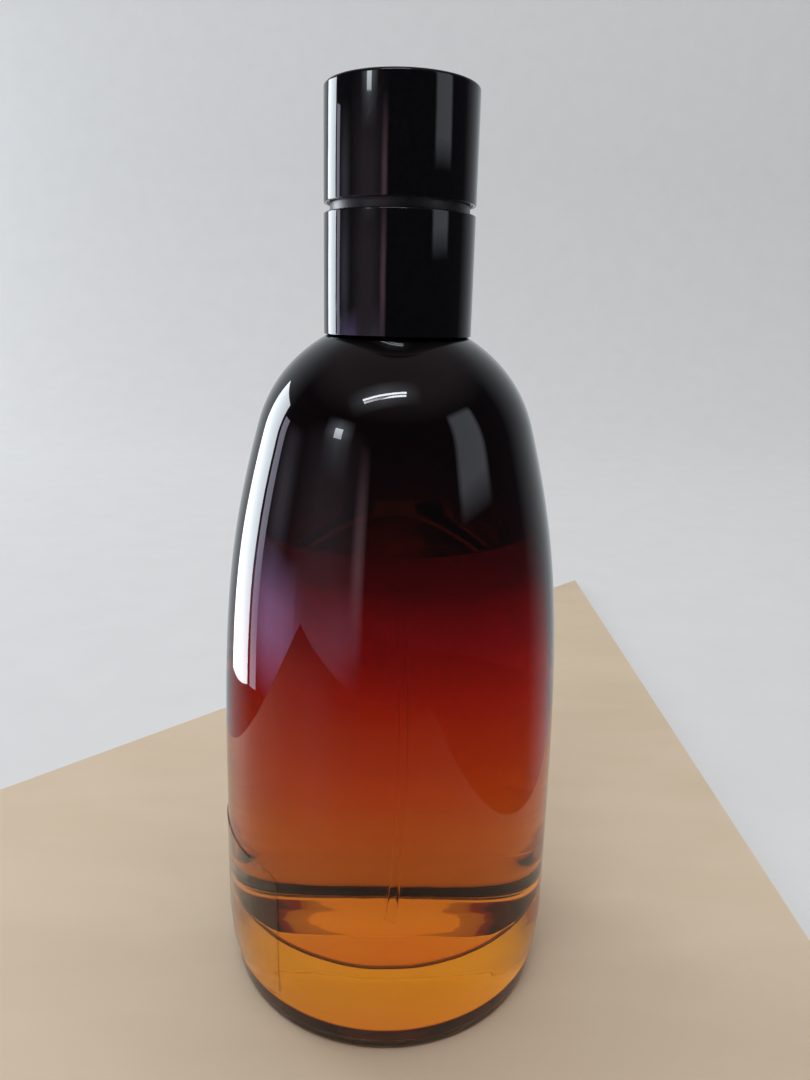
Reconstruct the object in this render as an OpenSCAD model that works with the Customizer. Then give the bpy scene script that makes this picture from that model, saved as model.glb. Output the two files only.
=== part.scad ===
// Aftershave bottle with a crimped spray pump and a pull-off cap.
// Millimetres. +Z is up, the origin is the centre of the base and the
// spray nozzle faces -Y.

/* [Glass bottle] */
// Widest diameter of the glass body
body_d = 55; // [53:0.5:58]
// Height from the base to the top of the shoulder
body_h = 107; // [104:1:112]
// Diameter of the flank where it turns into the shoulder
shoulder_d = 41.8; // [40:0.2:44]
// Thickness of the side wall
wall_t = 4.6; // [3.5:0.1:5.5]
// Height of the inner floor above the base
floor_t = 13; // [9:0.5:16]
// Radius of the corner between the inner floor and the wall
floor_corner_r = 3; // [2:0.5:5]
// Outer diameter of the ring that the bottle stands on
foot_d = 49.8; // [48:0.2:51]
// Width of that ring
foot_w = 2.9; // [1.5:0.1:4]
// Depth of the hollow under the base
punt_h = 1.05; // [0.5:0.05:2.5]

/* [Crimp neck] */
// Diameter of the neck below its bead
neck_d = 13; // [12.6:0.1:13.4]
// Diameter of the crimp bead
bead_d = 15; // [14.8:0.1:15.2]
// Height of the crimp bead
bead_h = 3.5; // [3.2:0.1:3.8]
// Height of the mouth above the shoulder
neck_h = 9.4; // [9:0.1:10]
// Diameter of the bore through the neck
bore_d = 10; // [9.6:0.1:10.2]

/* [Contents and label] */
// Height of the liquid's surface above the base
fill_z = 78; // [40:1:82]
// Thickness of the clear film label
label_t = 0.1; // [0.08:0.02:0.16]
// Angle of the body that the label covers, in degrees
label_angle = 115; // [60:5:150]
// Height of the label
label_h = 22.5; // [12:0.5:30]

/* [Pump] */
// How far the pump travels
stroke = 4; // [3:0.1:4]
// Diameter of the pump's cylinder
cylinder_d = 6.6; // [6.4:0.1:6.8]
// Outside diameter of the hollow stem
stem_d = 3.4; // [3.2:0.1:3.5]
// Running clearance on the stem, on radius
running_gap = 0.05; // [0.02:0.01:0.1]
// Diameter of the ball in the inlet valve
inlet_ball_d = 2; // [1.8:0.1:2]
// Diameter of the ball in the outlet valve
outlet_ball_d = 1.2; // [1.1:0.05:1.2]
// Outside diameter of the dip tube
dip_tube_d = 1.6; // [1.4:0.1:1.8]
// Wire diameter of the return spring
spring_wire = 0.5; // [0.4:0.05:0.6]
// Turns of the return spring
spring_turns = 6.5; // [5:0.5:7]

/* [Spray button] */
// Outside diameter of the metal button
button_d = 13.6; // [13.2:0.2:13.8]
// Height of the metal button
button_h = 12.7; // [12.2:0.1:12.8]
// Diameter of the nozzle insert
nozzle_d = 3.8; // [3.6:0.1:4]
// Diameter of the spray orifice
orifice_d = 0.3; // [0.2:0.05:0.4]

/* [Collar and cap] */
// Diameter of the collar and the cap
cap_d = 22; // [21.6:0.2:22.4]
// Height of the visible part of the collar
collar_h = 16.8; // [16.6:0.1:17.2]
// Height of the recessed groove between the collar and the cap
groove_h = 1.3; // [1:0.1:1.5]
// Depth of that groove
groove_depth = 0.9; // [0.6:0.1:1]
// Height of the cap above the groove
cap_h = 15.3; // [15:0.1:16]
// Thickness of the metal of the collar and the cap
metal_t = 0.5; // [0.4:0.05:0.6]

/* [Hidden] */
$fn = 96;
EPS = 0.01;

// Main radii
body_r = body_d / 2;
foot_r = foot_d / 2;
neck_r = neck_d / 2;
bead_r = bead_d / 2;
bore_r = bore_d / 2;
cap_r = cap_d / 2;
stem_r = stem_d / 2;
cyl_r = cylinder_d / 2;
tube_r = dip_tube_d / 2;
tube_wall = 0.3;
button_r = button_d / 2;

// The flank: nearly straight at first, then leaning in to the shoulder.
heel_z = 11;
lean = 15.5;
shoulder_pt = [shoulder_d / 2, body_h - 13.6];
flank_pull = 21.5;
shoulder_pull = 9.7;
lean_dir = [-sin(lean), cos(lean)];
neck_root = [9.65, body_h];
flank_curve = [
    [body_r, heel_z],
    [body_r, heel_z + 50],
    shoulder_pt - flank_pull * lean_dir,
    shoulder_pt
];
shoulder_curve = [
    shoulder_pt,
    shoulder_pt + shoulder_pull * lean_dir,
    neck_root + [1.3, -0.75],
    neck_root
];

// The heel: a tight round over the foot, then a long one up to the flank.
heel_r = 1.3;
heel_turn = 72;
heel_start = [foot_r + heel_r * sin(heel_turn), heel_r * (1 - cos(heel_turn))];
heel_curve = [
    heel_start,
    heel_start + 1.6 * [cos(heel_turn), sin(heel_turn)],
    [body_r - 0.3, 6],
    [body_r, heel_z]
];

// The hollow under the base: a soft step, then a shallow dome.
punt_step_w = 3.5;
punt_dome = 0.5;
foot_in_r = foot_r - foot_w;

// The neck
mouth_z = body_h + neck_h;
bead_z = mouth_z - bead_h;
neck_fillet = 1.4;
lip_r = 0.4;
bore_z = body_h - 2.2;

// Steps for the sampled curves
CURVE_STEPS = 18;
ARC_STEPS = 6;

// The crimp ferrule and its gasket
gasket_h = 0.9;
flange_h = 1;
flange_z = mouth_z + gasket_h;
flange_top = flange_z + flange_h;
flange_r = bead_r - 0.3;
ferrule_t = 0.4;
ferrule_r = bead_r + 0.5;
ferrule_top = flange_top + ferrule_t;

// The pump housing
head_r = 4.6;
head_top = ferrule_top + 2.1;
housing_r = 4.3;
vent_r = 0.25;
vent_drop = 1.6;
cylinder_depth = 15.8;
shelf_z = flange_z - cylinder_depth;
tail_z = shelf_z - 14.5;
tail_r = 1.6;
socket_depth = 5;
seat_z = tail_z + 7;
seat_hole_r = 0.5;
chamber_r = inlet_ball_d / 2 + 0.2;
valve_r = chamber_r + 1;
ball_lift = 0.6;
ball_gap = 0.02;
// The ball rests on a 45 degree seat.
ball_r = inlet_ball_d / 2;
ball_z = seat_z - seat_hole_r + ball_r * sqrt(2) + ball_gap;
chamber_flare = 2;
nub_in_r = 0.6;
nub_w = 0.5;
nub_z = ball_z + sqrt(ball_r * ball_r - nub_in_r * nub_in_r) + ball_lift + 0.02;

// The turret closes the cylinder and guides the stem.
turret_plug_z = head_top - 3;
turret_top = head_top + 0.8;

// The stem and its piston
stop_h = 0.85;
stop_top = turret_plug_z - running_gap;
stop_r = 2.6;
piston_h = 3;
piston_z = shelf_z + stroke + 5;
hub_z = turret_top + stroke + 0.4;
stem_top = hub_z + 3.95;
stem_bore_r = 0.75;
spigot_r = 1.2;
out_ball_r = outlet_ball_d / 2;
out_hole_r = 0.35;
out_seat_z = piston_z + 0.7;
out_ball_z = out_seat_z - out_hole_r + out_ball_r * sqrt(2) + ball_gap;
out_lift = 0.4;
out_slot_w = 0.4;
upper_bore_r = 0.5;
out_stop_z = out_ball_z + out_lift + 0.02
    + sqrt(out_ball_r * out_ball_r - upper_bore_r * upper_bore_r);

// The return spring stands between the shelf and the piston.
spring_r = 2.3;
spring_z0 = shelf_z + spring_wire / 2 + 0.03;
spring_z1 = piston_z - spring_wire / 2 - 0.03;
SPRING_SIDES = 8;
SPRING_RINGS_PER_TURN = 20;

// The dip tube hangs from the tail and curls gently towards the front.
tube_top = [0, 0, tail_z + socket_depth];
tube_curve = [
    [0, 0, tail_z],
    [0.4, 0.2, tail_z - 24],
    [3.4, -1.4, floor_t + 34],
    [0.5, -8, floor_t + 1.8]
];
TUBE_SIDES = 12;
TUBE_RINGS = 18;

// The spray button
button_z0 = turret_top + 1.7;
button_top = button_z0 + button_h;
shell_t = 0.4;
insert_r = button_r - shell_t;
skirt_in_r = insert_r - 0.9;
hub_r = 2.9;
socket_top = stem_top + running_gap;
nozzle_r = nozzle_d / 2;
nozzle_z = socket_top + 2;
nozzle_depth = 2.9;
nozzle_face = insert_r + 0.15;
post_r = 0.8;
core_top = nozzle_z - nozzle_r - 0.6;
channel_r = 0.5;
channel_z = nozzle_z + post_r + channel_r;

// The collar
collar_z0 = body_h - 0.4;
collar_top = collar_z0 + collar_h;
collar_neck_r = 9.2;
collar_neck_h = 4.6;
collar_neck_top = collar_top + collar_neck_h;
collar_hole_r = button_r + 0.4;
sleeve_r = ferrule_r + 0.05;
sleeve_z = mouth_z - 4.4;
COLLAR_RIBS = 12;

// The cap
cap_z0 = collar_top + groove_h;
cap_top = cap_z0 + cap_h;
cap_gap = 0.1;
seat_gap = 0.05;
liner_in_r = 8.6;
liner_step_z = collar_neck_top + 0.5;
ceiling_z = button_top + 0.8;
ceiling_t = 1;
weight_r = cap_r - metal_t - 0.6;
cap_round = 0.5;
GRIP_RIBS = 8;

// The label's middle faces back and to the left.
label_dir = 176;
label_z = 5.5;
label_top = label_z + label_h;
glue_t = 0.05;

// A point of a cubic Bezier curve, and the whole curve as points
function bezier_at(p, t) =
    pow(1 - t, 3) * p[0] + 3 * t * pow(1 - t, 2) * p[1]
    + 3 * t * t * (1 - t) * p[2] + pow(t, 3) * p[3];
function bezier(p, steps) = [for (i = [0:steps]) bezier_at(p, i / steps)];

// An arc as points, from one angle to another
function arc(c, r, from, to, steps = ARC_STEPS) =
    [for (i = [0:steps]) let (a = from + (to - from) * i / steps)
        c + r * [cos(a), sin(a)]];

// All points of a list but the first, and the list backwards
function tail(p) = [for (i = [1:len(p) - 1]) p[i]];
function reversed(p) = [for (i = [len(p) - 1:-1:0]) p[i]];

// The normal of a curve that climbs, pointing to the axis
function inward(p, i) =
    let (d = p[min(i + 1, len(p) - 1)] - p[max(i - 1, 0)])
    [-d[1], d[0]] / norm(d);

// The body's outer outline above the heel
function body_outline() =
    concat(bezier(flank_curve, CURVE_STEPS),
           tail(bezier(shoulder_curve, CURVE_STEPS)));

// The same outline moved in by the wall's thickness, between two limits
function cavity_wall() =
    let (p = body_outline())
    [for (i = [0:len(p) - 1])
        let (q = p[i] + wall_t * inward(p, i))
        if (q[0] > bore_r + 0.6 && q[1] > floor_t + floor_corner_r + 1) q];

// The cavity from the middle of its floor up to the mouth
function cavity_outline() =
    let (r = body_r - wall_t)
    concat([[0, floor_t]],
           arc([r - floor_corner_r, floor_t + floor_corner_r],
               floor_corner_r, -90, 0),
           cavity_wall(),
           [[bore_r, bore_z]]);

// The radius of the cavity and of the outside at a height
function cavity_r(z) = lookup(z, [for (p = cavity_wall()) [p[1], p[0]]]);
function outside_r(z) = lookup(z, [for (p = side_outline()) [p[1], p[0]]]);

// The outside from the foot to the top of the shoulder
function side_outline() = concat(heel_outline(), tail(body_outline()));

// The underside, from the middle out to the foot
function punt_outline() =
    let (r = foot_in_r - punt_step_w)
    concat([for (i = [0:ARC_STEPS]) let (t = i / ARC_STEPS)
               [r * t, punt_h + punt_dome * (1 - t * t)]],
           [for (i = [1:ARC_STEPS]) let (t = i / ARC_STEPS)
               [r + punt_step_w * t, punt_h * (1 - t * t * (3 - 2 * t))]]);

function heel_outline() =
    concat(arc([foot_r, heel_r], heel_r, -90, heel_turn - 90),
           tail(bezier(heel_curve, ARC_STEPS)));

function neck_outline() =
    let (c = [neck_r + neck_fillet, body_h + 0.4 + neck_fillet])
    concat(arc(c, neck_fillet, 270, 180),
           [[neck_r, bead_z], [bead_r, bead_z]],
           arc([bead_r - lip_r, mouth_z - lip_r], lip_r, 0, 90),
           [[bore_r, mouth_z]]);

module ring(r_out, r_in, z0, z1) {
    rotate_extrude()
        translate([r_in, z0])
            square([r_out - r_in, z1 - z0]);
}

// The faces between rings of points, each ring joined to the next one
function wall_faces(count, sides, start = 0) =
    [for (i = [0:count - 2], j = [0:sides - 1])
        let (a = start + i * sides, b = a + sides, k = (j + 1) % sides)
        [a + j, a + k, b + k, b + j]];

// A solid bar along a path, made of rings of points
module sweep(rings, sides) {
    count = len(rings);
    first_cap = [[for (j = [sides - 1:-1:0]) j]];
    last_cap = [[for (j = [0:sides - 1]) (count - 1) * sides + j]];
    polyhedron([for (r = rings) each r],
               concat(wall_faces(count, sides), first_cap, last_cap),
               convexity = 10);
}

// A hollow tube along a path, made of outer and inner rings of points
module hose(outer, inner, sides) {
    count = len(outer);
    size = count * sides;
    bore = [for (f = wall_faces(count, sides, size)) reversed(f)];
    ends = [for (i = [0, count - 1], j = [0:sides - 1])
        let (a = i * sides, b = size + a, k = (j + 1) % sides,
             f = [a + k, a + j, b + j, b + k])
        i == 0 ? f : reversed(f)];
    polyhedron([for (r = concat(outer, inner)) each r],
               concat(wall_faces(count, sides), bore, ends),
               convexity = 10);
}

// A ring of points round a place on the dip tube, square to its run
function tube_ring(c, along, r) =
    let (side = cross(along, [0, 1, 0]) / norm(cross(along, [0, 1, 0])),
         front = cross(side, along))
    [for (j = [0:TUBE_SIDES - 1]) let (a = 360 * j / TUBE_SIDES)
        c + r * (cos(a) * side + sin(a) * front)];

// The dip tube's rings from the top of its socket to its tip
function tube_rings(r) =
    concat([tube_ring(tube_top, [0, 0, -1], r)],
           [for (i = [0:TUBE_RINGS])
               let (t = i / TUBE_RINGS,
                    d = bezier_at(tube_curve, min(t + 0.02, 1))
                        - bezier_at(tube_curve, max(t - 0.02, 0)))
               tube_ring(bezier_at(tube_curve, t), d / norm(d), r)]);

// The height of the spring's wire after a part of its turns: the end
// turns lie flat, and the pitch is even between them.
function spring_climb(t) =
    let (flat = 0.8 / spring_turns)
    spring_z0 + (spring_z1 - spring_z0) * lookup(t, [
        [0, 0], [flat, 0.075], [1 - flat, 0.925], [1, 1]]);

function spring_rings() =
    let (count = round(spring_turns * SPRING_RINGS_PER_TURN))
    [for (i = [0:count])
        let (t = i / count, a = 360 * spring_turns * t,
             out = [cos(a), sin(a), 0])
        [for (j = [0:SPRING_SIDES - 1]) let (b = 360 * j / SPRING_SIDES)
            (spring_r + spring_wire / 2 * cos(b)) * out
            + [0, 0, spring_climb(t) + spring_wire / 2 * sin(b)]]];

module glass_bottle() {
    outside = concat(punt_outline(), side_outline(), neck_outline());
    color("maroon")
        rotate_extrude()
            polygon(concat(outside, reversed(cavity_outline())));
}

module aftershave_fill() {
    below = [for (p = cavity_outline()) if (p[1] < fill_z) p];
    color("orange")
        difference() {
            rotate_extrude()
                polygon(concat(below, [[cavity_r(fill_z), fill_z], [0, fill_z]]));
            sweep(tube_rings(tube_r), TUBE_SIDES);
        }
}

module rear_label() {
    between = [for (p = side_outline()) if (p[1] > label_z && p[1] < label_top) p[1]];
    levels = concat([label_z], between, [label_top]);
    skin = concat(
        [for (z = levels) [outside_r(z) + glue_t, z]],
        [for (z = reversed(levels)) [outside_r(z) + glue_t + label_t, z]]);
    color("whitesmoke")
        rotate(label_dir - label_angle / 2)
            rotate_extrude(angle = label_angle)
                polygon(skin);
}

module neck_gasket() {
    color("dimgray")
        ring(flange_r, bore_r + 0.2, mouth_z, flange_z);
}

module crimp_ferrule() {
    color("silver")
        rotate_extrude()
            polygon([
                [bead_r - 0.7, bead_z - ferrule_t],
                [ferrule_r, bead_z - ferrule_t],
                [ferrule_r, ferrule_top],
                [head_r + 0.1, ferrule_top],
                [head_r + 0.1, flange_top],
                [ferrule_r - ferrule_t, flange_top],
                [ferrule_r - ferrule_t, bead_z],
                [bead_r - 0.7, bead_z]
            ]);
}

module pump_housing() {
    outside = [
        [tail_r, tail_z],
        [tail_r, seat_z - 0.6],
        [valve_r, seat_z],
        [valve_r, shelf_z - 2.6],
        [housing_r, shelf_z - 1],
        [housing_r, flange_z],
        [flange_r, flange_z],
        [flange_r, flange_top],
        [head_r, flange_top],
        [head_r, head_top]
    ];
    inside = [
        [cyl_r, head_top],
        [cyl_r, shelf_z],
        [chamber_r + 0.7, shelf_z],
        [chamber_r, shelf_z - chamber_flare],
        [chamber_r, seat_z + chamber_r - seat_hole_r],
        [seat_hole_r, seat_z],
        [seat_hole_r, tail_z + socket_depth],
        [tube_r, tail_z + socket_depth],
        [tube_r, tail_z]
    ];
    color("white") {
        difference() {
            rotate_extrude() polygon(concat(outside, inside));
            translate([0, 0, flange_z - vent_drop])
                rotate([0, 90, 0])
                    cylinder(r = vent_r, h = housing_r + 1);
        }
        for (a = [0:120:240])
            rotate(a)
                translate([nub_in_r, -nub_w / 2, nub_z])
                    cube([chamber_r + 0.2 - nub_in_r, nub_w, nub_w]);
    }
}

module pump_turret() {
    color("white")
        rotate_extrude()
            polygon([
                [stem_r + running_gap, turret_plug_z],
                [cyl_r, turret_plug_z],
                [cyl_r, head_top],
                [head_r, head_top],
                [head_r, turret_top - 0.2],
                [head_r - 0.2, turret_top],
                [stem_r + running_gap, turret_top]
            ]);
}

module return_spring() {
    color("silver") sweep(spring_rings(), SPRING_SIDES);
}

module dip_tube() {
    color("ivory")
        hose(tube_rings(tube_r), tube_rings(tube_r - tube_wall), TUBE_SIDES);
}

module inlet_ball() {
    color("lightsteelblue") translate([0, 0, ball_z]) sphere(ball_r);
}

module pump_stem() {
    outside = [
        [spigot_r, piston_z],
        [spigot_r, piston_z + piston_h],
        [stem_r, piston_z + piston_h],
        [stem_r, stop_top - stop_h],
        [stop_r, stop_top - stop_h],
        [stop_r, stop_top],
        [stem_r, stop_top],
        [stem_r, stem_top]
    ];
    inside = [
        [upper_bore_r, stem_top],
        [upper_bore_r, out_stop_z],
        [stem_bore_r, out_stop_z],
        [stem_bore_r, out_seat_z + stem_bore_r - out_hole_r],
        [out_hole_r, out_seat_z],
        [out_hole_r, piston_z]
    ];
    color("white")
        difference() {
            rotate_extrude() polygon(concat(outside, inside));
            for (a = [0, 90])
                rotate(a)
                    translate([-stem_bore_r, -out_slot_w / 2, out_stop_z - EPS])
                        cube([2 * stem_bore_r, out_slot_w, 0.6]);
        }
}

module pump_piston() {
    wiper_r = cyl_r - 0.03;
    waist_r = cyl_r - 0.5;
    color("whitesmoke")
        rotate_extrude()
            polygon([
                [spigot_r, piston_z],
                [waist_r, piston_z],
                [wiper_r, piston_z + 0.1],
                [wiper_r, piston_z + 0.6],
                [waist_r, piston_z + 1.1],
                [waist_r, piston_z + piston_h - 1.1],
                [wiper_r, piston_z + piston_h - 0.6],
                [wiper_r, piston_z + piston_h - 0.1],
                [waist_r, piston_z + piston_h],
                [spigot_r, piston_z + piston_h]
            ]);
}

module outlet_ball() {
    color("lightsteelblue") translate([0, 0, out_ball_z]) sphere(out_ball_r);
}

module button_core() {
    color("black")
        difference() {
            translate([0, 0, button_z0])
                cylinder(r = insert_r, h = button_h - shell_t);
            difference() {
                translate([0, 0, button_z0 - EPS])
                    cylinder(r = skirt_in_r, h = core_top - button_z0);
                translate([0, 0, hub_z])
                    cylinder(r = hub_r, h = button_h);
            }
            translate([0, 0, hub_z - EPS])
                cylinder(r = stem_r + running_gap, h = socket_top - hub_z + EPS);
            cylinder(r = channel_r, h = channel_z + channel_r);
            translate([0, 0, channel_z])
                rotate([90, 0, 0])
                    cylinder(r = channel_r - 0.1, h = insert_r - nozzle_depth + 0.1);
            translate([0, EPS - insert_r + nozzle_depth, nozzle_z])
                rotate([90, 0, 0])
                    difference() {
                        cylinder(r = nozzle_r, h = nozzle_depth + 1);
                        translate([0, 0, -1])
                            cylinder(r = post_r, h = nozzle_depth + 0.4);
                    }
        }
}

module button_shell() {
    color("gray")
        difference() {
            translate([0, 0, button_z0])
                rotate_extrude()
                    polygon(concat(
                        [[insert_r, 0], [button_r, 0]],
                        arc([button_r - cap_round, button_h - cap_round],
                            cap_round, 0, 90),
                        [[0, button_h], [0, button_h - shell_t],
                         [insert_r, button_h - shell_t]]));
            translate([0, 0, nozzle_z])
                rotate([90, 0, 0])
                    cylinder(r = nozzle_r + 0.05, h = cap_r);
        }
}

module nozzle_insert() {
    back = insert_r - nozzle_depth + 0.3;
    color("white")
        rotate([90, 0, 0])
            translate([0, nozzle_z, 0])
                difference() {
                    translate([0, 0, back])
                        cylinder(r = nozzle_r, h = nozzle_face - back);
                    translate([0, 0, back - EPS])
                        cylinder(r = post_r + 0.1, h = nozzle_face - back - 0.35);
                    cylinder(r = orifice_d / 2, h = cap_r);
                    translate([0, 0, nozzle_face - 0.15])
                        cylinder(r1 = orifice_d / 2, r2 = 0.6, h = 0.16);
                }
}

module collar_shell() {
    color("black")
        rotate_extrude()
            polygon([
                [cap_r, collar_z0],
                [cap_r, collar_top],
                [collar_neck_r, collar_top],
                [collar_neck_r, collar_neck_top],
                [collar_hole_r, collar_neck_top],
                [collar_hole_r, collar_neck_top - metal_t],
                [collar_neck_r - metal_t, collar_neck_top - metal_t],
                [collar_neck_r - metal_t, collar_top - metal_t],
                [cap_r - metal_t, collar_top - metal_t],
                [cap_r - metal_t, collar_z0]
            ]);
}

module collar_insert() {
    top = collar_top - metal_t;
    color("dimgray") {
        ring(cap_r - metal_t, cap_r - metal_t - 0.8, collar_z0 + 0.9, top);
        ring(cap_r - metal_t - 0.4, sleeve_r + 0.4, top - 1.2, top);
        ring(sleeve_r + 0.8, sleeve_r, sleeve_z, top);
        ring(sleeve_r + 0.4, collar_hole_r, ferrule_top, ferrule_top + 0.8);
        for (i = [0:COLLAR_RIBS - 1])
            rotate(360 * i / COLLAR_RIBS)
                translate([sleeve_r + 0.5, -0.4, sleeve_z + 1])
                    cube([cap_r - metal_t - 0.4 - sleeve_r - 0.5, 0.8, top - sleeve_z - 1.5]);
    }
}

module cap_shell() {
    color("black")
        rotate_extrude()
            polygon(concat(
                [[cap_r - metal_t, cap_z0], [cap_r, cap_z0]],
                arc([cap_r - cap_round, cap_top - cap_round], cap_round, 0, 90),
                [[0, cap_top], [0, cap_top - metal_t],
                 [cap_r - metal_t, cap_top - metal_t]]));
}

module cap_liner() {
    bottom = collar_top + seat_gap;
    grip_r = collar_neck_r + cap_gap;
    color("dimgray") {
        rotate_extrude()
            polygon([
                [grip_r, bottom],
                [cap_r - groove_depth, bottom],
                [cap_r - groove_depth, cap_z0 + 0.2],
                [cap_r - metal_t, cap_z0 + 0.2],
                [cap_r - metal_t, ceiling_z + ceiling_t],
                [0, ceiling_z + ceiling_t],
                [0, ceiling_z],
                [liner_in_r, ceiling_z],
                [liner_in_r, liner_step_z],
                [grip_r, liner_step_z]
            ]);
        for (i = [0:GRIP_RIBS - 1])
            rotate(360 * i / GRIP_RIBS)
                translate([collar_neck_r + 0.02, -0.3, cap_z0 + 0.3])
                    cube([0.4, 0.6, 2]);
    }
}

module cap_weight() {
    color("silver")
        translate([0, 0, ceiling_z + ceiling_t])
            cylinder(r = weight_r, h = cap_top - metal_t - ceiling_z - ceiling_t);
}

glass_bottle();
aftershave_fill();
rear_label();
neck_gasket();
crimp_ferrule();
pump_housing();
pump_turret();
return_spring();
dip_tube();
inlet_ball();
pump_stem();
pump_piston();
outlet_ball();
button_core();
button_shell();
nozzle_insert();
collar_shell();
collar_insert();
cap_shell();
cap_liner();
cap_weight();
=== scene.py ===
"""The aftershave bottle in a plain studio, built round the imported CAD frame.

Outlines and paths are in millimetres, as (radius, height) or (x, y, z), and
the mesh makers turn them into metres. Everything else is in metres.
"""
import math

import bpy
from mathutils import Matrix, Vector, noise


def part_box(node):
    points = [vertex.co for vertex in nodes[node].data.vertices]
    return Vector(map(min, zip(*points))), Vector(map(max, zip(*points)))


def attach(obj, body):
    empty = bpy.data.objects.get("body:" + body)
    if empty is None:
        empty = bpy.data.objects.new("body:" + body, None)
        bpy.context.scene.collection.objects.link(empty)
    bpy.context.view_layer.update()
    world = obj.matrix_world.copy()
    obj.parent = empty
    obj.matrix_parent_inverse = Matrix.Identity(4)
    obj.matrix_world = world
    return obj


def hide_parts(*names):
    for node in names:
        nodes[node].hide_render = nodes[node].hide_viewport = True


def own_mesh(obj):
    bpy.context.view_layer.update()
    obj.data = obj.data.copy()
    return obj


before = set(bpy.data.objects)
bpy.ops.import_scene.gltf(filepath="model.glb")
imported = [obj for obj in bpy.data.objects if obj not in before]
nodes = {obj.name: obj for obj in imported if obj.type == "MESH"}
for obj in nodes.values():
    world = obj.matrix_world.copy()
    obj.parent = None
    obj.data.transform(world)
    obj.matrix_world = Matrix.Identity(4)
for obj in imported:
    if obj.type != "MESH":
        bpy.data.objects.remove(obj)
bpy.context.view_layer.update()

MM = 0.001
scene = bpy.context.scene


def in_mm(node):
    """The lowest and highest corner of a CAD node, in millimetres."""
    low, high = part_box(node)
    return Vector(low) / MM, Vector(high) / MM


# ---------------------------------------------------------------- outlines

def bezier(points, steps):
    """Points along a cubic curve."""
    p = [Vector(q) for q in points]
    curve = []
    for i in range(steps + 1):
        t = i / steps
        u = 1 - t
        curve.append(p[0] * u**3 + p[1] * 3 * t * u * u + p[2] * 3 * t * t * u + p[3] * t**3)
    return curve


def arc(centre, radius, start, end, steps):
    """Points along an arc, from one angle to another in degrees."""
    angles = [math.radians(start + (end - start) * i / steps) for i in range(steps + 1)]
    return [Vector((centre[0] + radius * math.cos(a), centre[1] + radius * math.sin(a)))
            for a in angles]


# How far a curve's handles reach to the corner of a quarter circle
QUARTER_PULL = 0.5523


def rounded(corners, closed=True, steps=5):
    """An outline from corners given as (radius, height, fillet)."""
    points = []
    count = len(corners)
    for i, (r, z, fillet) in enumerate(corners):
        here = Vector((r, z))
        if fillet == 0 or (not closed and i in (0, count - 1)):
            points.append(here)
            continue
        before = Vector(corners[i - 1][:2])
        after = Vector(corners[(i + 1) % count][:2])
        enter = here + (before - here).normalized() * fillet
        leave = here + (after - here).normalized() * fillet
        handles = enter.lerp(here, QUARTER_PULL), leave.lerp(here, QUARTER_PULL)
        points += bezier([enter, *handles, leave], steps)
    return points


def moved_in(points, distance):
    """The outline moved to the left of its run."""
    result = []
    for i, here in enumerate(points):
        run = points[min(i + 1, len(points) - 1)] - points[max(i - 1, 0)]
        run.normalize()
        result.append(here + Vector((-run.y, run.x)) * distance)
    return result


# ---------------------------------------------------------------- meshes

def make_piece(name, vertices, faces, materials, slots=None, crease=35):
    """A smooth-shaded object with its sharp edges kept, from vertices in mm."""
    mesh = bpy.data.meshes.new(name)
    mesh.from_pydata([Vector(v) * MM for v in vertices], [], faces)
    for material in materials:
        mesh.materials.append(material)
    mesh.update()
    if slots:
        mesh.polygons.foreach_set("material_index", slots)
    mesh.shade_smooth()
    mesh.set_sharp_from_angle(angle=math.radians(crease))
    piece = bpy.data.objects.new(name, mesh)
    scene.collection.objects.link(piece)
    return piece


# A radius below which a point counts as lying on the axis
ON_AXIS = 1e-6


def lathe(name, runs, materials, sides=160, ripple=None):
    """A body of revolution. Each run is (material slot, points), and the runs
    join end to end. An outline that ends off the axis is closed into a ring."""
    outline, segment_slots = [], []
    for slot, points in runs:
        fresh = points[1:] if outline else points
        segment_slots += [slot] * (len(points) - 1)
        outline += fresh
    ring_shaped = outline[0][0] > 0
    if ring_shaped:
        segment_slots.append(runs[-1][0])

    vertices, rings = [], []
    turns = [2 * math.pi * j / sides for j in range(sides)]
    for r, z in outline:
        if r < ON_AXIS:
            rings.append([len(vertices)] * sides)
            vertices.append(Vector((0, 0, z)))
            continue
        rings.append(list(range(len(vertices), len(vertices) + sides)))
        for a in turns:
            place = Vector((r * math.cos(a), r * math.sin(a), z))
            vertices.append(place + ripple(place) if ripple else place)

    faces, slots = [], []
    following = rings[1:] + rings[:1] if ring_shaped else rings[1:]
    for low, high, slot in zip(rings, following, segment_slots):
        for j in range(sides):
            k = (j + 1) % sides
            corners = dict.fromkeys([low[j], low[k], high[k], high[j]])
            if len(corners) > 2:
                faces.append(list(corners))
                slots.append(slot)
    return make_piece(name, vertices, faces, materials, slots)


def frames_along(path):
    """The direction and two square directions at each point of a path."""
    result = []
    side = Vector((1, 0, 0))
    for i in range(len(path)):
        along = (path[min(i + 1, len(path) - 1)] - path[max(i - 1, 0)]).normalized()
        side = (side - along * side.dot(along)).normalized()
        result.append((along, side, along.cross(side)))
    return result


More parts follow.
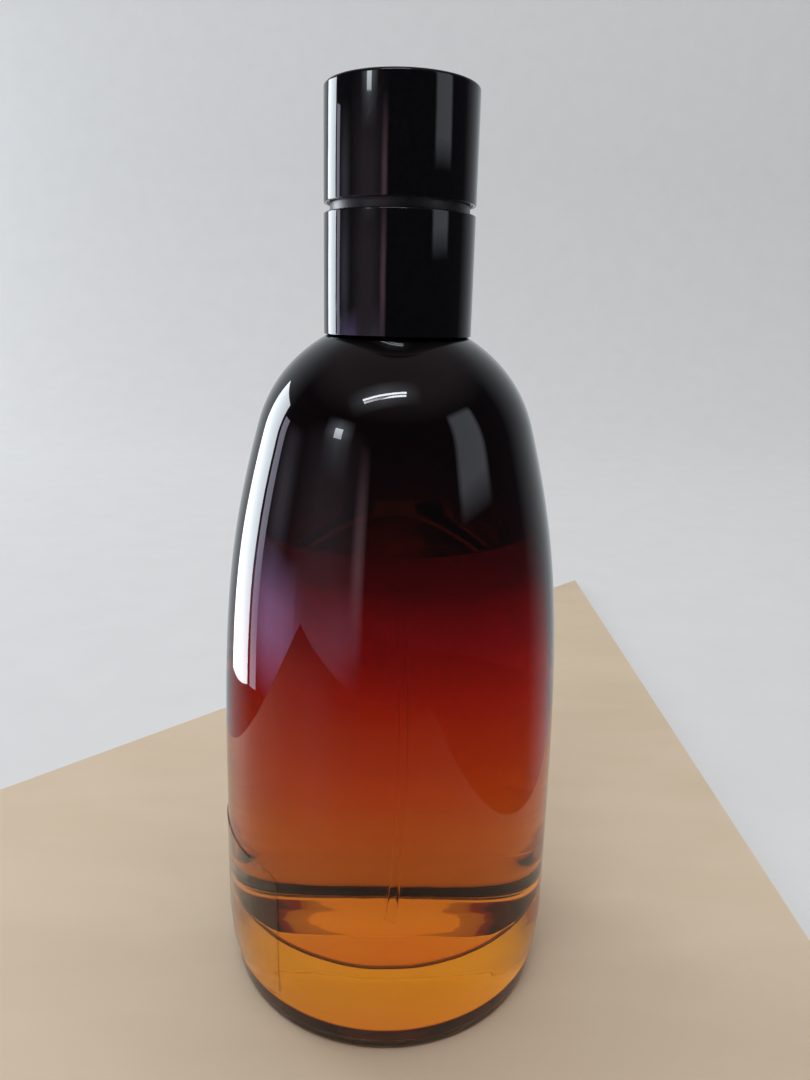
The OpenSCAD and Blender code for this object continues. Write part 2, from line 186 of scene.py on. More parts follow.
def sweep(name, path, radius, materials, sides=16, bore=0, tip_slope=0):
    """A round bar along a path, or a tube if it has a bore. The last ring of
    a tube slopes, as a tip that was cut at an angle."""
    radii = [radius, bore] if bore else [radius]
    vertices = []
    for wall in radii:
        for i, (place, (along, side, up)) in enumerate(zip(path, frames_along(path))):
            for j in range(sides):
                a = 2 * math.pi * j / sides
                out = side * math.cos(a) + up * math.sin(a)
                slant = along * (tip_slope * wall * math.cos(a)) if i == len(path) - 1 else Vector()
                vertices.append(place + out * wall + slant)
    size = len(path) * sides
    faces = []
    for layer in range(len(radii)):
        for i in range(len(path) - 1):
            for j in range(sides):
                a = layer * size + i * sides + j
                b = layer * size + i * sides + (j + 1) % sides
                face = [a, b, b + sides, a + sides]
                faces.append(face[::-1] if layer else face)
    last = size - sides
    if bore:
        for j in range(sides):
            k = (j + 1) % sides
            faces.append([k, j, size + j, size + k])
            faces.append([last + j, last + k, size + last + k, size + last + j])
    else:
        faces.append(list(range(sides))[::-1])
        faces.append([last + j for j in range(sides)])
    return make_piece(name, vertices, faces, materials)


# ---------------------------------------------------------------- materials

class Finish:
    """A material with a Principled shader, and short ways to add its nodes."""

    def __init__(self, name, color=(0.8, 0.8, 0.8), **sockets):
        self.material = bpy.data.materials.new(name)
        self.material.use_nodes = True
        self.tree = self.material.node_tree
        self.shader = self.tree.nodes["Principled BSDF"]
        self.shader.inputs["Base Color"].default_value = (*color, 1)
        for socket, value in sockets.items():
            title = "IOR" if socket == "ior" else socket.replace("_", " ").title()
            self.shader.inputs[title].default_value = value
        self.place = self.node("ShaderNodeTexCoord").outputs["Object"]

    def node(self, kind, **settings):
        made = self.tree.nodes.new(kind)
        for name, value in settings.items():
            setattr(made, name, value)
        return made

    def link(self, output, target):
        self.tree.links.new(output, target)

    def stretched(self, scale):
        """Object coordinates in metres, scaled along each axis."""
        mapping = self.node("ShaderNodeMapping")
        mapping.inputs["Scale"].default_value = scale
        self.link(self.place, mapping.inputs["Vector"])
        return mapping.outputs["Vector"]

    def noise(self, scale, detail=3, stretch=(1, 1, 1), distortion=0):
        made = self.node("ShaderNodeTexNoise")
        made.inputs["Scale"].default_value = scale
        made.inputs["Detail"].default_value = detail
        made.inputs["Distortion"].default_value = distortion
        self.link(self.stretched(stretch), made.inputs["Vector"])
        return made.outputs["Fac"]

    def cells(self, scale, stretch=(1, 1, 1)):
        made = self.node("ShaderNodeTexVoronoi", feature="DISTANCE_TO_EDGE")
        made.inputs["Scale"].default_value = scale
        self.link(self.stretched(stretch), made.inputs["Vector"])
        return made.outputs["Distance"]

    def mapped(self, value, low, high, to_low, to_high):
        """A value carried from one range to another and held within it."""
        made = self.node("ShaderNodeMapRange")
        ends = {"From Min": low, "From Max": high, "To Min": to_low, "To Max": to_high}
        for socket, number in ends.items():
            made.inputs[socket].default_value = number
        self.link(value, made.inputs["Value"])
        return made.outputs["Result"]

    def math(self, operation, first, second):
        made = self.node("ShaderNodeMath", operation=operation)
        for socket, value in zip(made.inputs, (first, second)):
            if isinstance(value, (int, float)):
                socket.default_value = value
            else:
                self.link(value, socket)
        return made.outputs["Value"]

    def ramp(self, value, stops):
        made = self.node("ShaderNodeValToRGB")
        elements = made.color_ramp.elements
        while len(elements) > 1:
            elements.remove(elements[-1])
        for i, (position, color) in enumerate(stops):
            element = elements[0] if i == 0 else elements.new(position)
            element.position = position
            element.color = (*color, 1)
        self.link(value, made.inputs["Fac"])
        return made.outputs["Color"]

    def color(self, output):
        self.link(output, self.shader.inputs["Base Color"])

    def roughness(self, output):
        self.link(output, self.shader.inputs["Roughness"])

    def bump(self, height, distance, strength=1.0):
        made = self.node("ShaderNodeBump")
        made.inputs["Distance"].default_value = distance
        made.inputs["Strength"].default_value = strength
        self.link(height, made.inputs["Height"])
        self.link(made.outputs["Normal"], self.shader.inputs["Normal"])


# The tube's is set against the liquid round it, and the film's is low so
# that it hardly shows
GLASS_IOR = 1.5
LIQUID_IOR = 1.36
FILM_IOR = 1.08
TUBE_IOR = 1.1


def lacquer_finish():
    """Clear lacquer that fades up the bottle, on top of the glass. Its
    stops are the share of the body's height and the light let through."""
    made = Finish("gradient_lacquer", transmission_weight=1.0, ior=GLASS_IOR)
    split = made.node("ShaderNodeSeparateXYZ")
    made.link(made.place, split.inputs[0])
    drift = made.mapped(made.noise(45, 2), 0.3, 0.7, -0.0012, 0.0012)
    speckle = made.mapped(made.noise(2600, 2), 0.3, 0.7, -0.0006, 0.0006)
    level = made.math("ADD", made.math("ADD", split.outputs["Z"], drift), speckle)
    share = made.mapped(level, 0, BODY_H * MM, 0, 1)
    made.color(made.ramp(share, LACQUER_STOPS))
    scratch = made.mapped(made.cells(170, (1.0, 1.0, 0.25)), 0.0, 0.012, 0.05, 0.0)
    smudge = made.mapped(made.noise(60, 4), 0.5, 0.75, 0.0, 0.035)
    made.roughness(made.math("ADD", scratch, smudge))
    made.bump(made.noise(90, 2), 0.00002)
    return made.material


def clear_glass_finish(name, ior):
    """Bare glass, with the faint waves that a mould leaves inside."""
    made = Finish(name, color=(0.985, 0.99, 0.98), transmission_weight=1.0, ior=ior, roughness=0.0)
    made.color(made.ramp(made.noise(200, 2), [(0.3, (0.97, 0.98, 0.97)), (0.7, (1.0, 1.0, 0.99))]))
    made.bump(made.noise(160, 2), 0.00003)
    return made.material


def liquid_finish(name, ior):
    """Clear amber, with next to no unevenness."""
    made = Finish(name, transmission_weight=1.0, ior=ior, roughness=0.0)
    made.color(made.ramp(made.noise(30, 1), [(0.3, (1.0, 0.92, 0.72)), (0.7, (1.0, 0.94, 0.78))]))
    return made.material


def film_finish():
    """Clear film with a faint haze and a few pale smears of glue."""
    made = Finish("label_film", transmission_weight=1.0, ior=FILM_IOR)
    smear = made.noise(420, 6, (1, 1, 0.5), 1.2)
    made.color(made.ramp(smear, [(0.4, (0.99, 0.98, 0.96)), (0.7, (0.9, 0.89, 0.87))]))
    made.roughness(made.mapped(smear, 0.55, 0.75, 0.0, 0.25))
    made.bump(made.noise(900, 3), 0.00001)
    return made.material


def film_edge_finish():
    """The cut edge, painted a dark brown that varies a little."""
    made = Finish("label_cut_edge", roughness=0.5)
    made.color(made.ramp(made.noise(800, 2), [(0.3, (0.06, 0.03, 0.02)), (0.7, (0.14, 0.08, 0.05))]))
    return made.material


def tube_finish():
    """Clear extruded polyethylene with faint lines along it."""
    made = Finish("clear_tube", transmission_weight=1.0, ior=TUBE_IOR, roughness=0.0)
    lines = made.noise(500, 3, (1, 1, 0.1))
    made.color(made.ramp(lines, [(0.3, (0.98, 0.98, 0.97)), (0.7, (1.0, 1.0, 1.0))]))
    made.bump(made.noise(700, 2, (1, 1, 0.05)), 0.00001)
    return made.material


def gloss_black_finish(name):
    """High-gloss black lacquer with dust nibs, hairlines and a soft haze."""
    made = Finish(name, color=(0.004, 0.004, 0.005), roughness=0.06)
    dust = made.noise(1500, 4)
    made.color(made.ramp(dust, [(0.35, (0.001, 0.001, 0.0014)), (0.75, (0.003, 0.003, 0.004))]))
    hairline = made.mapped(made.cells(130, (1, 1, 0.18)), 0.0, 0.01, 0.1, 0.0)
    haze = made.mapped(made.noise(80, 4), 0.4, 0.7, 0.02, 0.06)
    made.roughness(made.math("ADD", hairline, haze))
    made.bump(made.noise(240, 2), 0.000012)
    return made.material


def satin_plastic_finish(name, dark, pale, roughness=0.4, **sockets):
    """Moulded plastic with a fine grain and a little unevenness in colour."""
    made = Finish(name, **sockets)
    made.color(made.ramp(made.noise(400, 4), [(0.3, dark), (0.7, pale)]))
    made.roughness(made.mapped(made.noise(900, 3), 0.3, 0.7, roughness - 0.07, roughness + 0.07))
    made.bump(made.noise(5000, 2), 0.00001)
    return made.material


def metal_finish(name, dark, pale, roughness, stretch=(1, 1, 1), scale=1200):
    """Bare metal with lines drawn the way it was rolled, turned or drawn."""
    made = Finish(name, metallic=1.0)
    lines = made.noise(scale, 4, stretch)
    made.color(made.ramp(lines, [(0.3, dark), (0.7, pale)]))
    made.roughness(made.mapped(lines, 0.3, 0.7, roughness - 0.06, roughness + 0.08))
    made.bump(lines, 0.000008)
    return made.material


# ---------------------------------------------------------------- the bottle

# The height of the glass up to the neck
BODY_H = 107
glass_top_corner = in_mm("glass_bottle")[1]
BODY_R = glass_top_corner.x
MOUTH_Z = glass_top_corner.z
WALL = 4.6
# The cavity's floor, and the fillet between it and the wall
FLOOR_Z = 13
FLOOR_CORNER = 3
# The ring that the bottle stands on, and the curve from it to the flank
FOOT_R = 24.9
FOOT_IN_R = 22.0
FOOT_ROUND = 1.3
FOOT_TURN = 72
HEEL_Z = 11
# Where the flank turns into the shoulder, and the way it leans there
SHOULDER = Vector((20.9, BODY_H - 13.6))
LEAN = Vector((-math.sin(math.radians(15.5)), math.cos(math.radians(15.5))))
NECK_ROOT = Vector((9.65, BODY_H))
NECK_R = 6.5
NECK_FILLET = 1.4
BEAD_R = 7.5
BEAD_Z = MOUTH_Z - 3.5
BORE_R = 5
BORE_Z = BODY_H - 2.2
# The hollow under the base
PUNT_H = 1.05
PUNT_DOME = 0.5
PUNT_STEP = 3.5
FILL_Z = in_mm("aftershave_fill")[1].z

# The light that the lacquer lets through, up the body
LACQUER_STOPS = [
    (0.0, (0.97, 0.42, 0.008)),
    (0.14, (0.95, 0.34, 0.008)),
    (0.21, (0.88, 0.18, 0.008)),
    (0.28, (0.64, 0.1, 0.008)),
    (0.36, (0.44, 0.047, 0.007)),
    (0.46, (0.35, 0.018, 0.006)),
    (0.54, (0.26, 0.004, 0.005)),
    (0.61, (0.11, 0.001, 0.003)),
    (0.7, (0.012, 0.0003, 0.0012)),
    (0.8, (0.002, 0.0002, 0.0005)),
    (1.0, (0.0005, 0.0001, 0.0002)),
]


def punt_outline(steps=12):
    """The underside: a shallow dome, a soft step and the foot ring."""
    edge = FOOT_IN_R - PUNT_STEP
    dome = [Vector((edge * i / steps, PUNT_H + PUNT_DOME * (1 - (i / steps) ** 2)))
            for i in range(steps + 1)]
    step = []
    for i in range(1, steps + 1):
        t = i / steps
        step.append(Vector((edge + PUNT_STEP * t, PUNT_H * (1 - t * t * (3 - 2 * t)))))
    return dome + step


def heel_outline():
    """From the foot ring out to the full radius of the body."""
    turn = math.radians(FOOT_TURN)
    start = Vector((FOOT_R + FOOT_ROUND * math.sin(turn), FOOT_ROUND * (1 - math.cos(turn))))
    along = Vector((math.cos(turn), math.sin(turn)))
    heel = bezier([start, start + along * 1.6, (BODY_R - 0.3, 6), (BODY_R, HEEL_Z)], 14)
    return arc((FOOT_R, FOOT_ROUND), FOOT_ROUND, -90, FOOT_TURN - 90, 10) + heel[1:]


def body_outline():
    """The flank and the shoulder, up to the root of the neck."""
    flank = bezier([(BODY_R, HEEL_Z), (BODY_R, HEEL_Z + 50), SHOULDER - LEAN * 21.5, SHOULDER], 56)
    into_neck = NECK_ROOT + Vector((1.3, -0.75))
    shoulder = bezier([SHOULDER, SHOULDER + LEAN * 9.7, into_neck, NECK_ROOT], 32)
    return flank + shoulder[1:]


def outside_outline():
    """The lacquered outside, from the foot ring to the root of the neck."""
    return heel_outline() + body_outline()[1:]


def neck_outline():
    """The neck and the bead that the ferrule is crimped under."""
    corner = (NECK_R + NECK_FILLET, BODY_H + 0.4 + NECK_FILLET)
    bead = [(NECK_R, BEAD_Z, 0), (BEAD_R, BEAD_Z, 0.3), (BEAD_R, MOUTH_Z, 0.4), (BORE_R, MOUTH_Z, 0.2)]
    return [NECK_ROOT] + arc(corner, NECK_FILLET, 270, 180, 6) + rounded(bead, closed=False)


def cavity_outline():
    """The cavity, from the middle of its floor up to the bore."""
    floor = [Vector((r, FLOOR_Z)) for r in (0, 6, 12, 16)]
    centre = (BODY_R - WALL - FLOOR_CORNER, FLOOR_Z + FLOOR_CORNER)
    wall = [p for p in moved_in(body_outline(), WALL)
            if p.x > BORE_R + 0.6 and p.y > centre[1] + 1]
    return floor + arc(centre, FLOOR_CORNER, -90, 0, 16) + wall


def cavity_ripple(place):
    """The uneven inside that blowing leaves, strongest round the floor."""
    near_floor = math.exp(-max(place.z - FLOOR_Z, 0) / 6)
    out = Vector((place.x, place.y, 0)).normalized() * 0.8 + Vector((0, 0, -0.6))
    return out * noise.noise(place * 0.22) * (0.02 + 0.1 * near_floor)


def radius_at(points, height):
    """The radius of an outline at a height. Above its end the last one holds,
    and below its start the first."""
    for a, b in zip(points, points[1:]):
        if a.y <= height <= b.y and b.y > a.y:
            return a.lerp(b, (height - a.y) / (b.y - a.y)).x
    return points[-1].x if height > points[0].y else points[0].x


def split_at(points, height):
    """An outline that climbs, cut into a lower and an upper part."""
    for i in range(1, len(points)):
        if points[i].y > height:
            a, b = points[i - 1], points[i]
            cut = a.lerp(b, (height - a.y) / (b.y - a.y))
            return points[:i] + [cut], [cut] + points[i:]


def make_bottle():
    """The glass in one closed mesh. Outside is lacquer. The inside below the
    liquid's surface bends light straight from glass into the liquid."""
    cavity = cavity_outline()
    wet, dry = split_at(cavity, FILL_Z)
    bore_foot, bore_top = Vector((BORE_R, BORE_Z)), Vector((BORE_R, MOUTH_Z))
    neck = neck_outline()
    lacquered, bare, wetted = 0, 1, 2
    runs = [
        (bare, punt_outline() + [Vector((FOOT_R, 0))]),
        (lacquered, outside_outline()),
        (bare, neck),
        (bare, [neck[-1], bore_top, bore_foot]),
        (bare, [bore_foot] + dry[::-1]),
        (wetted, wet[::-1]),
    ]
    materials = [lacquer_finish(), clear_glass_finish("bare_glass", GLASS_IOR),
                 clear_glass_finish("wet_glass", GLASS_IOR / LIQUID_IOR)]

    def ripple(place):
        in_cavity = (FLOOR_Z - 1 < place.z < BORE_Z - 8
                     and math.hypot(place.x, place.y) < radius_at(cavity, place.z) + 0.5)
        return cavity_ripple(place) if in_cavity else Vector()

    piece = lathe("glass_body", runs, materials, sides=256, ripple=ripple)
    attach(piece, "bottle")
    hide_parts("glass_bottle")


def make_liquid():
    """The liquid a hair inside the glass, with a raised edge at its surface."""
    gap = 0.02
    wet = moved_in(split_at(cavity_outline(), FILL_Z)[0], gap)
    wet[0].x = 0
    edge = wet[-1]
    meniscus_w, meniscus_h = 2.2, 0.7
    surface = [Vector((edge.x - meniscus_w * t, edge.y - meniscus_h * (1 - (1 - t) ** 3)))
               for t in (0, 0.1, 0.2, 0.35, 0.5, 0.7, 1)]
    surface.append(Vector((0, surface[-1].y)))

    def ripple(place):
        return cavity_ripple(place) if place.z < FILL_Z - 3 else Vector()

    open_top, against_glass = 0, 1
    runs = [(against_glass, wet), (open_top, surface)]
    materials = [liquid_finish("aftershave_surface", LIQUID_IOR), liquid_finish("aftershave_body", 1.0)]
    piece = lathe("aftershave", runs, materials, sides=192, ripple=ripple)
    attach(piece, "bottle")
    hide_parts("aftershave_fill")


def make_label():
    """Clear film bent round the back of the body, with rounded corners."""
    low, high = 5.5, 28.0
    middle, spread = 176, 115
    glue, film, corner = 0.05, 0.1, 2.0
    corner_steps, middle_steps, rows = 10, 72, 20
    outside = outside_outline()
    length = math.radians(spread) * BODY_R
    ends = [corner * (1 - math.cos(math.pi / 2 * i / corner_steps)) for i in range(corner_steps + 1)]
    between = [corner + (length - 2 * corner) * i / middle_steps for i in range(1, middle_steps)]
    columns = ends + between + [length - s for s in reversed(ends)]
    vertices = []
    for lift in (glue, glue + film):
        for s in columns:
            from_end = min(s, length - s)
            from_corner = max(corner - from_end, 0)
            cut = corner - math.sqrt(max(corner**2 - from_corner**2, 0))
            angle = math.radians(middle - spread / 2) + s / BODY_R
            for i in range(rows + 1):
                z = low + cut + (high - low - 2 * cut) * i / rows
                r = radius_at(outside, z) + lift
                vertices.append(Vector((r * math.cos(angle), r * math.sin(angle), z)))
    width = rows + 1
    size = len(columns) * width
    # Slot 1 is the dark brown cut edge. It goes on the top, bottom and end of the far end only, so that
    # the edge shows as a line
    clean, dark_edge = 0, 1
    dark_edge_from = len(columns) - corner_steps - 3
    faces, slots = [], []
    for c in range(len(columns) - 1):
        for i in range(rows):
            a = c * width + i
            faces.append([a, a + 1, a + width + 1, a + width])
            faces.append([size + a, size + a + width, size + a + width + 1, size + a + 1])
            slots += [clean, clean]
        for i in (0, rows):
            a = c * width + i
            face = [a, a + width, size + a + width, size + a]
            faces.append(face if i == 0 else face[::-1])
            slots.append(dark_edge if c >= dark_edge_from else clean)
    for c in (0, len(columns) - 1):
        for i in range(rows):
            a = c * width + i
            face = [a, size + a, size + a + 1, a + 1]
            faces.append(face if c == 0 else face[::-1])
            slots.append(dark_edge if c else clean)
    piece = make_piece("film_label", vertices, faces, [film_finish(), film_edge_finish()], slots)
    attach(piece, "bottle")
    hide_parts("rear_label")


# ---------------------------------------------------------------- the pump

def make_dip_tube():
    """The tube from the pump's tail, bent forward to the edge of the floor."""
    tail_z = in_mm("pump_housing")[0].z
    top = in_mm("dip_tube")[1].z
    bend = [(0.4, 0.2, tail_z - 24), (3.4, -1.4, FLOOR_Z + 34)]
    hang = bezier([(0, 0, tail_z), *bend, (0.5, -8, FLOOR_Z + 1.8)], 72)
    piece = sweep("dip_tube_extrusion", [Vector((0, 0, top))] + hang, 0.8, [tube_finish()],
                  sides=32, bore=0.5, tip_slope=0.5)
    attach(piece, "bottle")
    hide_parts("dip_tube")


def make_spring():
    """The coil with its end turns closed, wound as the CAD winds it."""
    wire_r, coil_r, turns, rings_per_turn = 0.25, 2.3, 6.5, 60
    shelf, length, gap = 101.5, 9, 0.03
    low = shelf + wire_r + gap
    high = shelf + length - wire_r - gap
    # Each closed end takes this share of the turns and of the climb
    end_turn, end_climb = 0.8 / turns, 0.075
    count = round(turns * rings_per_turn)
    path = []
    for i in range(count + 1):
        t = i / count
        if t < end_turn:
            climb = end_climb * t / end_turn
        elif t > 1 - end_turn:
            climb = 1 - end_climb * (1 - t) / end_turn
        else:
            climb = end_climb + (1 - 2 * end_climb) * (t - end_turn) / (1 - 2 * end_turn)
        a = 2 * math.pi * turns * t
        path.append(Vector((coil_r * math.cos(a), coil_r * math.sin(a), low + (high - low) * climb)))
    steel = metal_finish("drawn_spring_wire", (0.45, 0.46, 0.48), (0.7, 0.71, 0.73), 0.22, (1, 1, 4))
    piece = sweep("spring_coil", path, wire_r, [steel], sides=16)
    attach(piece, "bottle")
    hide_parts("return_spring")
    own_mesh(piece)


# ---------------------------------------------------------------- collar and cap

# The thickness of the drawn shells, and the fillet of their edges
METAL = 0.5
EDGE = 0.14


def make_collar(black):
    """The collar, with the narrower neck that the cap slides over."""
    low, high = in_mm("collar_shell")
    r, shelf = high.x, high.z - 4.6
    neck_r, hole_r = 9.2, 7.2
    corners = [
        (r - METAL, low.z, EDGE), (r, low.z, EDGE), (r, shelf, 0.25), (neck_r, shelf, 0.3),
        (neck_r, high.z, 0.35), (hole_r, high.z, EDGE), (hole_r, high.z - METAL, EDGE),
        (neck_r - METAL, high.z - METAL, 0.1), (neck_r - METAL, shelf - METAL, 0.3),
        (r - METAL, shelf - METAL, 0.1),
    ]
    piece = lathe("collar_sleeve", [(0, rounded(corners))], [black], sides=192)
    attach(piece, "bottle")
    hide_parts("collar_shell")


def make_cap(black):
    """The cap, a plain cup with its mouth down."""
    low, high = in_mm("cap_shell")
    r = high.x
    corners = [
        (0, high.z - METAL, 0), (r - METAL, high.z - METAL, 0.3), (r - METAL, low.z, EDGE),
        (r, low.z, EDGE), (r, high.z, 0.5), (0, high.z, 0),
    ]
    piece = lathe("cap_sleeve", [(0, rounded(corners, closed=False))], [black], sides=192)
    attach(piece, "cap")
    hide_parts("cap_shell")


def finish_cad_nodes():
    """Gives every CAD node that stays in view its procedural material."""
    ball_tones = (0.5, 0.51, 0.53), (0.72, 0.73, 0.75)
    white = satin_plastic_finish("white_moulding", (0.78, 0.78, 0.76), (0.88, 0.88, 0.86))
    natural = satin_plastic_finish("natural_moulding", (0.7, 0.72, 0.7), (0.82, 0.83, 0.81), 0.35,
                                   subsurface_weight=0.3, subsurface_scale=0.001)
    dark = satin_plastic_finish("black_moulding", (0.012, 0.012, 0.014), (0.03, 0.03, 0.034), 0.34)
    finishes = {
        "neck_gasket": satin_plastic_finish("gasket_rubber", (0.02, 0.02, 0.02),
                                            (0.05, 0.05, 0.05), 0.75),
        "crimp_ferrule": metal_finish("rolled_aluminium", (0.66, 0.66, 0.68), (0.84, 0.84, 0.86),
                                      0.25, (1, 1, 12), 260),
        "pump_housing": white,
        "pump_turret": white,
        "inlet_ball": metal_finish("polished_ball", *ball_tones, 0.1),
        "outlet_ball": metal_finish("polished_small_ball", *ball_tones, 0.1),
        "pump_stem": natural,
        "pump_piston": natural,
        "button_core": dark,
        "button_shell": gloss_black_finish("button_black"),
        "nozzle_insert": satin_plastic_finish("nozzle_acetal", (0.02, 0.02, 0.022),
                                              (0.045, 0.045, 0.05), 0.25),
        "collar_insert": dark,
        "cap_liner": dark,
        "cap_weight": metal_finish("stamped_steel", (0.3, 0.3, 0.31), (0.46, 0.46, 0.47), 0.35,
                                   scale=700),
    }
    for name, material in finishes.items():
        for slot in nodes[name].material_slots:
            slot.material = material


# ---------------------------------------------------------------- the studio

def only_in_reflections(prop):
    """Hides a prop from every ray but the ones that a gloss throws."""
    for ray in ("camera", "diffuse", "transmission", "shadow"):
        setattr(prop, "visible_" + ray, False)


def make_sweep():
    """The floor under the board, which curves up into a wall behind."""
    white = Finish("white_sweep", roughness=0.8, emission_color=(0.27, 0.27, 0.275, 1),
                   emission_strength=1.0)
    white.color(white.ramp(white.noise(60, 5), [(0.3, (0.38, 0.39, 0.39)), (0.7, (0.4, 0.41, 0.41))]))
    reach, front, back, rise, bend = 5000, -4000, 750, 2500, 250
    below_board = -2
    curve = arc((back - bend, below_board + bend), bend, -90, 0, 18)
    profile = [(front, below_board), *curve, (back, rise)]
    vertices = [(x, y, z) for x in (-reach, reach) for y, z in profile]
    count = len(profile)
    faces = [[i, i + count, i + count + 1, i + 1] for i in range(count - 1)]
    sweep_piece = make_piece("sweep", vertices, faces, [white.material])
    sweep_piece.visible_glossy = False


def make_board(name, top=0, painted_shade_span=None):
    """The corner of the board that the bottle stands on. It is pale all over,
    or it has painted shade that goes from dark to pale between two places on the Y axis."""
    wood = Finish(name, roughness=0.45)
    streaks = wood.mapped(wood.noise(25, 6, (1, 3, 1), 0.6), 0.3, 0.7, -0.05, 0.05)
    dark, pale = 0.05, 0.9
    shade = pale
    # Painted shade: the board darkens towards the front, standing in for the shadow of somebody in
    # front of it
    if painted_shade_span:
        split = wood.node("ShaderNodeSeparateXYZ")
        wood.link(wood.place, split.inputs[0])
        shade = wood.mapped(split.outputs["Y"], *painted_shade_span, dark, pale)
    tones = [(0.0, (0.03, 0.022, 0.016)), (0.85, (0.62, 0.51, 0.37)), (0.95, (0.66, 0.55, 0.41))]
    wood.color(wood.ramp(wood.math("ADD", shade, streaks), tones))
    thick = 1.9
    corners = [(-329, -190, top), (78.3, -190, top), (78.3, 208, top)]
    vertices = corners + [(x, y, z - thick) for x, y, z in corners]
    count = len(corners)
    faces = [list(range(count)), [count + i for i in range(count)][::-1]]
    faces += [[(i + 1) % count, i, count + i, count + (i + 1) % count] for i in range(count)]
    board = make_piece(name, vertices, faces, [wood.material])
    return board


def make_stage():
    """A warm pale board on a white sweep. Reflections show a second board, a hair
    above the first, with painted shade over its front as if somebody stood there."""
    make_sweep()
    make_board("board").visible_glossy = False
    only_in_reflections(make_board("board_in_reflections", 0.1, painted_shade_span=(-0.17, 0.03)))


def aimed(place, facing, along):
    """The pose of a flat panel that faces a point, with its width along a line."""
    back = (place - facing).normalized()
    side = (along - back * along.dot(back)).normalized()
    return Matrix.Translation(place) @ Matrix((side, back.cross(side), back)).transposed().to_4x4()


def upright(towards, low, high):
    """Pose and size of a panel between two directions, with its side edges one
    metre from the axis. 0 degrees is the front, -Y, and 90 the left, -X."""
    ends = [Vector((-math.sin(math.radians(a)), -math.cos(math.radians(a)), 0)) for a in towards]
    level = Vector((0, 0, (low + high) / 2))
    along = ends[1] - ends[0]
    return aimed((ends[0] + ends[1]) / 2 + level, level, along), (along.length, high - low)


def overhead(start, end, width):
    """Pose and size of a bar between two points, turned to the bottle."""
    start, end = Vector(start), Vector(end)
    upper_body = Vector((0, 0, 0.1))
    return aimed((start + end) / 2, upper_body, end - start), ((end - start).length, width)


def light_panel(name, pose_and_size, radiance, color):
    """An even area light that shows in reflections, but not to the camera or
    through glass."""
    pose, size = pose_and_size
    data = bpy.data.lights.new(name, "AREA")
    data.shape = "RECTANGLE"
    data.size, data.size_y = size
    data.color = color
    data.energy = radiance * size[0] * size[1] * math.pi
    light = bpy.data.objects.new(name, data)
    scene.collection.objects.link(light)
    light.matrix_world = pose
    light.visible_camera = False
    light.visible_transmission = False
    return light


def glow_panel(name, pose_and_size, radiance, color, feather=0.4):
    """A panel that shows in reflections only and fades out to its edges."""
    pose, size = pose_and_size
    glow = Finish(name, color=(0, 0, 0), roughness=1.0, emission_color=(*color, 1),
                  emission_strength=radiance)
    split = glow.node("ShaderNodeSeparateXYZ")
    glow.link(glow.place, split.inputs[0])
    half = 0.5
    across, up = [
        glow.mapped(glow.math("ABSOLUTE", split.outputs[axis], 0), half - feather, half, 1, 0)
        for axis in ("X", "Y")
    ]
    glow.link(glow.math("MULTIPLY", across, up), glow.shader.inputs["Alpha"])
    corners = [Vector(signs) * half / MM for signs in ((-1, -1, 0), (1, -1, 0), (1, 1, 0), (-1, 1, 0))]
    panel = make_piece(name, corners, [[0, 1, 2, 3]], [glow.material])
    panel.matrix_world = pose @ Matrix.Diagonal((*size, 1, 1))
    only_in_reflections(panel)


def make_lights():
    """A tall window at the left, a lamp, two ceiling bars and a fill above
    that reflections don't see. The glows are the dim walls round them."""
    light_panel("window", upright((110, 134), -0.35, 0.5), 7.5, (0.86, 0.93, 1.0))
    light_panel("window_side", upright((100, 107), -0.35, 0.4), 2.6, (0.8, 0.78, 1.0))
    lamp = overhead((-0.72, -0.56, 0.5), (-0.64, -0.64, 0.5), 0.11)
    light_panel("lamp", lamp, 15.0, (0.85, 0.95, 1.0))
    for y in (-0.61, -0.55):
        bar = overhead((-0.47, y - 0.06, 1.1), (0.15, y + 0.04, 1.1), 0.035)
        light_panel("ceiling_bar", bar, 22.0, (0.9, 0.95, 1.0))
    above = Matrix.Translation((0, 0, 1.4)), (1.8, 1.8)
    light_panel("fill", above, 1.3, (1.0, 0.99, 0.97)).visible_glossy = False

    round_lamp = overhead((-0.86, -0.46, 0.51), (-0.54, -0.78, 0.51), 0.4)
    glow_panel("lamp_halo", round_lamp, 3.5, (0.8, 0.88, 1.0), 0.5)
    round_bars = overhead((-0.75, -0.68, 1.12), (0.4, -0.48, 1.12), 0.5)
    glow_panel("ceiling_glow", round_bars, 1.8, (0.85, 0.88, 1.0), 0.5)
    glow_panel("left_screen", upright((76, 101), -0.1, 0.42), 0.55, (0.85, 0.8, 1.0))
    glow_panel("left_wall", upright((18, 80), -0.35, 0.6), 0.36, (1.0, 0.8, 0.95))
    glow_panel("front_strip", upright((18, 29), -0.2, 0.48), 1.4, (1.0, 0.6, 0.7))
    glow_panel("low_glow", upright((52, 112), -0.3, 0.05), 2.6, (0.62, 0.5, 1.0))
    glow_panel("low_glow_side", upright((18, 72), -0.26, 0.06), 1.4, (0.85, 0.62, 1.0))
    glow_panel("right_screen", upright((-78, -48), 0.2, 0.9), 1.2, (0.84, 0.88, 1.0), 0.15)


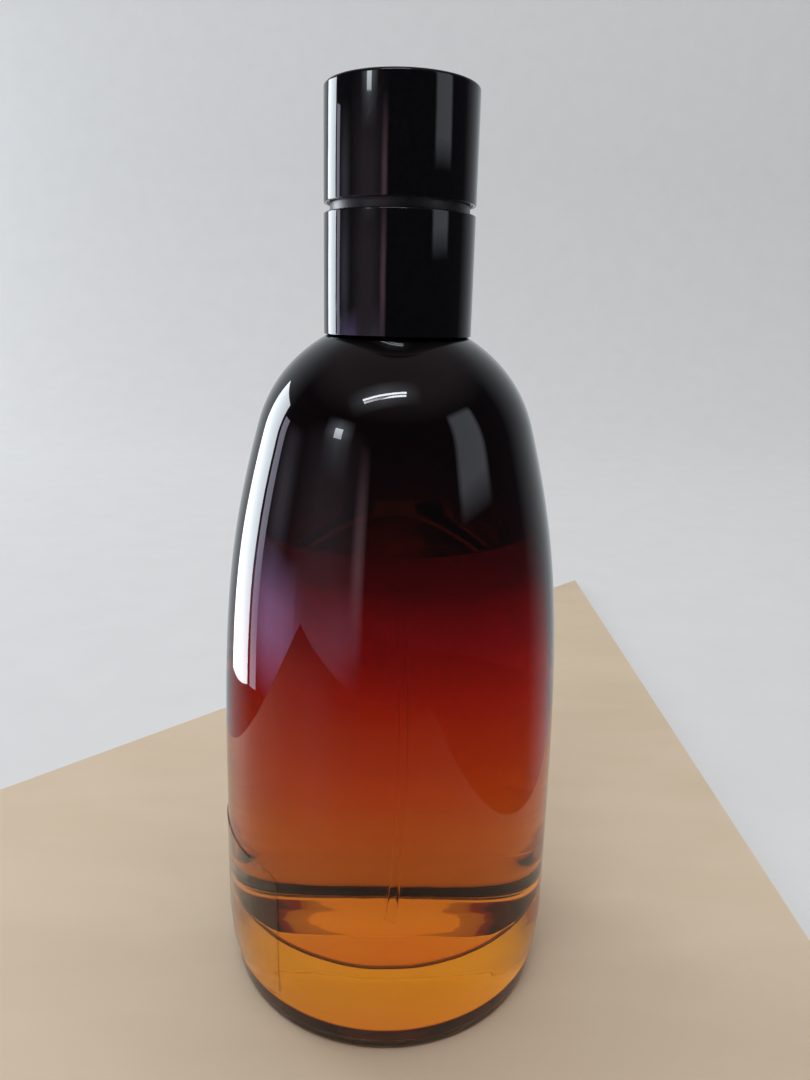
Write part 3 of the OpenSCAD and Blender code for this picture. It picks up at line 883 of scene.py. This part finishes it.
def make_world():
    """Pale behind the bottle, dim in front of it and grey overhead, for the
    reflections. The camera sees one pale colour all round, and light that
    comes through glass one warm grey."""
    world = bpy.data.worlds.new("room")
    scene.world = world
    world.use_nodes = True
    tree = world.node_tree
    rays = tree.nodes.new("ShaderNodeLightPath")
    place = tree.nodes.new("ShaderNodeTexCoord")
    split = tree.nodes.new("ShaderNodeSeparateXYZ")
    tree.links.new(place.outputs["Generated"], split.inputs[0])

    def fade(axis, start, end):
        made = tree.nodes.new("ShaderNodeMapRange")
        made.inputs["From Min"].default_value = start
        made.inputs["From Max"].default_value = end
        tree.links.new(split.outputs[axis], made.inputs["Value"])
        return made.outputs["Result"]

    def blend(first, color, factor):
        made = tree.nodes.new("ShaderNodeMix")
        made.data_type = "RGBA"
        if isinstance(first, tuple):
            made.inputs["A"].default_value = (*first, 1)
        else:
            tree.links.new(first, made.inputs["A"])
        made.inputs["B"].default_value = (*color, 1)
        tree.links.new(factor, made.inputs["Factor"])
        return made.outputs["Result"]

    room = blend((0.05, 0.045, 0.055), (0.6, 0.64, 0.67), fade("Y", 0.25, 0.9))
    room = blend(room, (0.24, 0.2, 0.22), fade("Z", 0.6, 0.85))
    room = blend(room, (0.26, 0.19, 0.15), rays.outputs["Is Transmission Ray"])
    room = blend(room, (0.6, 0.63, 0.65), rays.outputs["Is Camera Ray"])
    tree.links.new(room, tree.nodes["Background"].inputs["Color"])


def make_camera():
    """A wide lens close to the bottle, a little above it and looking down."""
    data = bpy.data.cameras.new("camera")
    data.lens = 27.5
    data.sensor_width = 36
    data.clip_start = 0.01
    camera = bpy.data.objects.new("camera", data)
    scene.collection.objects.link(camera)
    pitch, roll, yaw = (math.radians(a) for a in (15.69, 1.42, 0.85))
    camera.matrix_world = (
        Matrix.Translation((0, -0.1275, 0.1105))
        @ Matrix.Rotation(-yaw, 4, "Z")
        @ Matrix.Rotation(math.pi / 2 - pitch, 4, "X")
        @ Matrix.Rotation(roll, 4, "Z")
    )
    scene.camera = camera


make_camera()
make_stage()
make_world()
make_lights()
make_bottle()
make_liquid()
make_label()
make_dip_tube()
make_spring()
gloss_black = gloss_black_finish("gloss_black_lacquer")
make_collar(gloss_black)
make_cap(gloss_black)
finish_cad_nodes()

scene.view_settings.view_transform = "Standard"
for bounce_limit in ("max_bounces", "transmission_bounces", "transparent_max_bounces"):
    setattr(scene.cycles, bounce_limit, 24)
